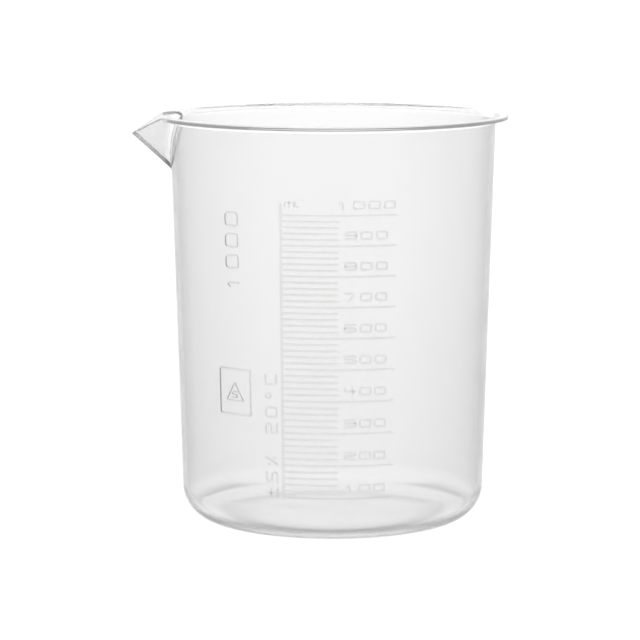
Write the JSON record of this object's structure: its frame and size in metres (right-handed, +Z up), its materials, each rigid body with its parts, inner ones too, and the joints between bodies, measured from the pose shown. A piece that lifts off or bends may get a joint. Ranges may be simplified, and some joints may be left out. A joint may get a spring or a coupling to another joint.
{
  "type": "laboratory beaker",
  "caption": "Translucent moulded low-form beaker with a flared rim, a V-shaped pouring spout, a rounded base corner and a raised volume scale with numerals.",
  "frame": {"origin": "centre of the flat base, on the surface that the beaker stands on, on the axis of the round wall", "axes": "+Z up along the wall's axis; -X towards the spout; -Y towards the scale"},
  "size_m": [0.1341, 0.1252, 0.1452],
  "materials": {
    "polypropylene": "translucent natural polypropylene, smooth and slightly waxy",
    "raised_marks": "the same natural polypropylene, moulded in relief"
  },
  "bodies": {
    "root": {"vessel": "polypropylene", "scale_spine": "raised_marks", "minor_graduations": "raised_marks", "major_graduations": "raised_marks", "numeral_100": "raised_marks", "numeral_200": "raised_marks", "numeral_300": "raised_marks", "numeral_400": "raised_marks", "numeral_500": "raised_marks", "numeral_600": "raised_marks", "numeral_700": "raised_marks", "numeral_800": "raised_marks", "numeral_900": "raised_marks", "numeral_1000": "raised_marks", "unit_mark": "raised_marks", "tolerance_mark": "raised_marks", "capacity_mark": "raised_marks", "resin_frame": "raised_marks", "resin_code": "raised_marks"}
  },
  "joints": []
}
